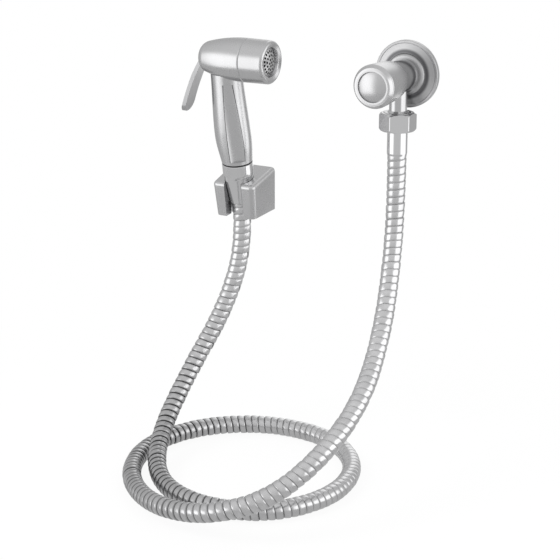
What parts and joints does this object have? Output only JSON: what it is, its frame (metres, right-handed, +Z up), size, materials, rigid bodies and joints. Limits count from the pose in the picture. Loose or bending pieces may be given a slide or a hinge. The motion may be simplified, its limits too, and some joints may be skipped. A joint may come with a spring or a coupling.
{
  "type": "handheld bidet shower",
  "caption": "Trigger spray handset in a wall holder, joined by a ribbed metal hose to an angle valve with a round knob and wall flange.",
  "frame": {"origin": "where the valve's inlet axis meets the wall plane", "axes": "+X along the wall to the right, +Y into the wall along the inlet spigot, +Z up"},
  "size_m": [0.2015, 0.2214, 0.3235],
  "materials": {
    "chromed_brass": "polished",
    "chromed_plastic": "polished",
    "plated_hose": "polished",
    "spray_plastic": "gloss",
    "brass": "satin",
    "steel": "polished",
    "black_rubber": "satin"
  },
  "bodies": {
    "set": {"wall_flange": "chromed_brass", "valve_body": "chromed_brass", "bonnet": "brass", "bonnet_gasket": "black_rubber", "hose_nut": "chromed_brass", "valve_washer": "black_rubber", "valve_insert": "brass", "valve_ferrule": "chromed_brass", "hose": "plated_hose", "cone_nut": "chromed_brass", "handset_washer": "black_rubber", "handset_insert": "brass", "handset_ferrule": "steel", "collar_ring": "black_rubber", "handset_body": "chromed_plastic", "face_ring": "chromed_plastic", "spray_plate": "spray_plastic", "plate_gasket": "black_rubber", "ring_gasket": "black_rubber", "return_spring": "steel", "trigger_pin": "steel", "wall_holder": "chromed_plastic"},
    "knob": {"knob": "chromed_plastic", "knob_cap": "chromed_plastic", "knob_screw": "steel", "spindle": "brass", "spindle_seal_rear": "black_rubber", "spindle_seal_front": "black_rubber", "spindle_clip": "steel"},
    "plunger": {"plunger": "brass", "seat_washer": "black_rubber"},
    "trigger": {"trigger_lever": "steel"},
    "stem": {"valve_stem": "brass", "stem_seal_rear": "black_rubber", "stem_seal_front": "black_rubber"}
  },
  "joints": [
    {"name": "knob_turn", "type": "hinge", "parent": "set", "child": "knob", "pos_m": [0, 0, 0], "axis": [0, -1, 0], "range_deg": [0, 540]},
    {"name": "plunger_lift", "type": "slide", "parent": "set", "child": "plunger", "axis": [0, -1, 0], "range_m": [0, 0.0026]},
    {"name": "trigger_pull", "type": "hinge", "parent": "set", "child": "trigger", "pos_m": [-0.14, -0.04087, 0.01183], "axis": [0, -0.9848, -0.1736], "range_deg": [0, 20], "stiffness_Nm_per_rad": 0.05, "springref_deg": -28.65},
    {"name": "stem_push", "type": "slide", "parent": "set", "child": "stem", "axis": [1, 0, 0], "range_m": [0, 0.002], "deforming": ["return_spring"]}
  ],
  "couplings": [
    {"joint": "plunger_lift", "follows": "knob_turn", "m_per_rad": 0.000265},
    {"joint": "stem_push", "follows": "trigger_pull", "m_per_rad": 0.0056}
  ]
}
